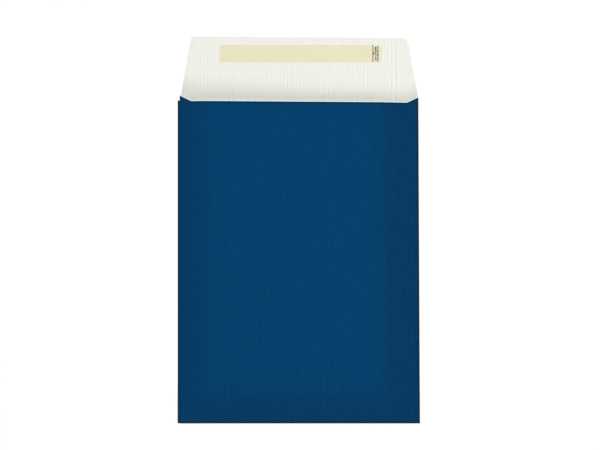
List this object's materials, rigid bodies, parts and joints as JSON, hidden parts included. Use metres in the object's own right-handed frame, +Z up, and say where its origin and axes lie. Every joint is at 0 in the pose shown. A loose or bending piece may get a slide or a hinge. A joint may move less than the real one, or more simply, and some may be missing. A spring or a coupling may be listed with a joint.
{
  "type": "flat gift bag",
  "caption": "Flat ribbed paper gift bag lying on its back, navy outside and white inside, with its self-seal flap open and the liner still on the adhesive.",
  "frame": {"origin": "on the table under the middle of the bag's outline, flap included", "axes": "+X across the bag to the right fold, +Y up the bag to the flap's free edge, +Z up from the table through the front panel"},
  "size_m": [0.1704, 0.2718, 0.0055],
  "materials": {
    "printed_paper": "ribbed kraft, navy outside and bare white inside",
    "adhesive": "clear tacky film",
    "liner_paper": "smooth siliconised cream paper"
  },
  "bodies": {
    "root": {"bag": "printed_paper", "adhesive_strip": "adhesive", "release_liner": "liner_paper"}
  },
  "joints": []
}
